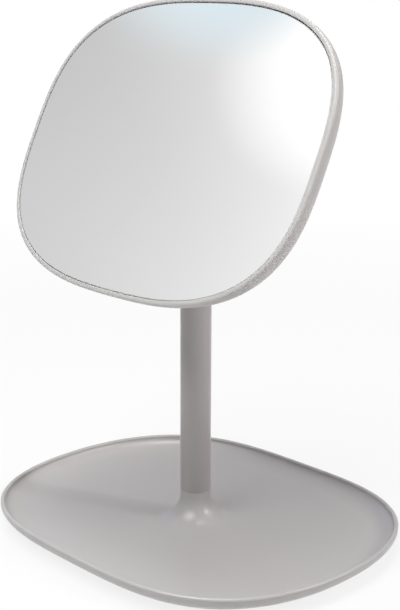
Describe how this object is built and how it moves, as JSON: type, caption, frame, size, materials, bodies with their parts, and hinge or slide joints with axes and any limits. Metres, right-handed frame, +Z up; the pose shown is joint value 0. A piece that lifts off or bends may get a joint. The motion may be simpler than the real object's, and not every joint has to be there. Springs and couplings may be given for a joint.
{
  "type": "tabletop vanity mirror with tray base",
  "caption": "Soft-rectangle tilting vanity mirror on a straight tube post, carried by a weighted rounded tray base that holds small things.",
  "frame": {"origin": "centre of the base's underside, on the table plane, straight under the post", "axes": "+Z up, +X along the tray's long side and the hinge axle, the mirror faces -Y and leans back towards +Y at rest"},
  "size_m": [0.2128, 0.172, 0.2739],
  "materials": {
    "tray_grey": "fine matt warm light grey, moulded",
    "shell_grey": "fine matt warm light grey, moulded",
    "post_grey": "fine matt warm grey powder coat on steel tube",
    "hinge_grey": "fine matt warm grey paint on die-cast hinge parts",
    "cap_grey": "fine matt warm light grey, moulded",
    "ballast_steel": "plain steel plate",
    "pad_black": "matt non-slip sheet",
    "fastener_steel": "zinc-plated steel",
    "insert_brass": "knurled brass",
    "washer_nylon": "natural nylon",
    "tape_foam": "white foam tape",
    "film_grey": "grey safety film",
    "mirror_silver": "silvered float glass with a polished arris"
  },
  "bodies": {
    "stand": {"tray_base": "tray_grey", "ballast_plate": "ballast_steel", "base_pad": "pad_black", "post_bolt": "fastener_steel", "neck_sleeve": "fastener_steel", "post_tube": "post_grey", "tube_plug": "fastener_steel", "hinge_tongue": "hinge_grey", "tongue_cross_pin": "fastener_steel"},
    "mirror_head": {"hinge_bracket": "hinge_grey", "bracket_screws": "fastener_steel", "threaded_inserts": "insert_brass", "pivot_bolt": "fastener_steel", "pivot_nut": "fastener_steel", "spring_washer": "fastener_steel", "friction_washers": "washer_nylon", "hinge_cap_left": "cap_grey", "hinge_cap_right": "cap_grey", "back_shell": "shell_grey", "adhesive_tapes": "tape_foam", "backing_film": "film_grey", "mirror_glass": "mirror_silver"}
  },
  "joints": [
    {"name": "head_tilt", "type": "hinge", "parent": "stand", "child": "mirror_head", "pos_m": [0, 0, 0.1937], "axis": [-1, 0, 0], "range_deg": [-31.2, 63.8]}
  ]
}
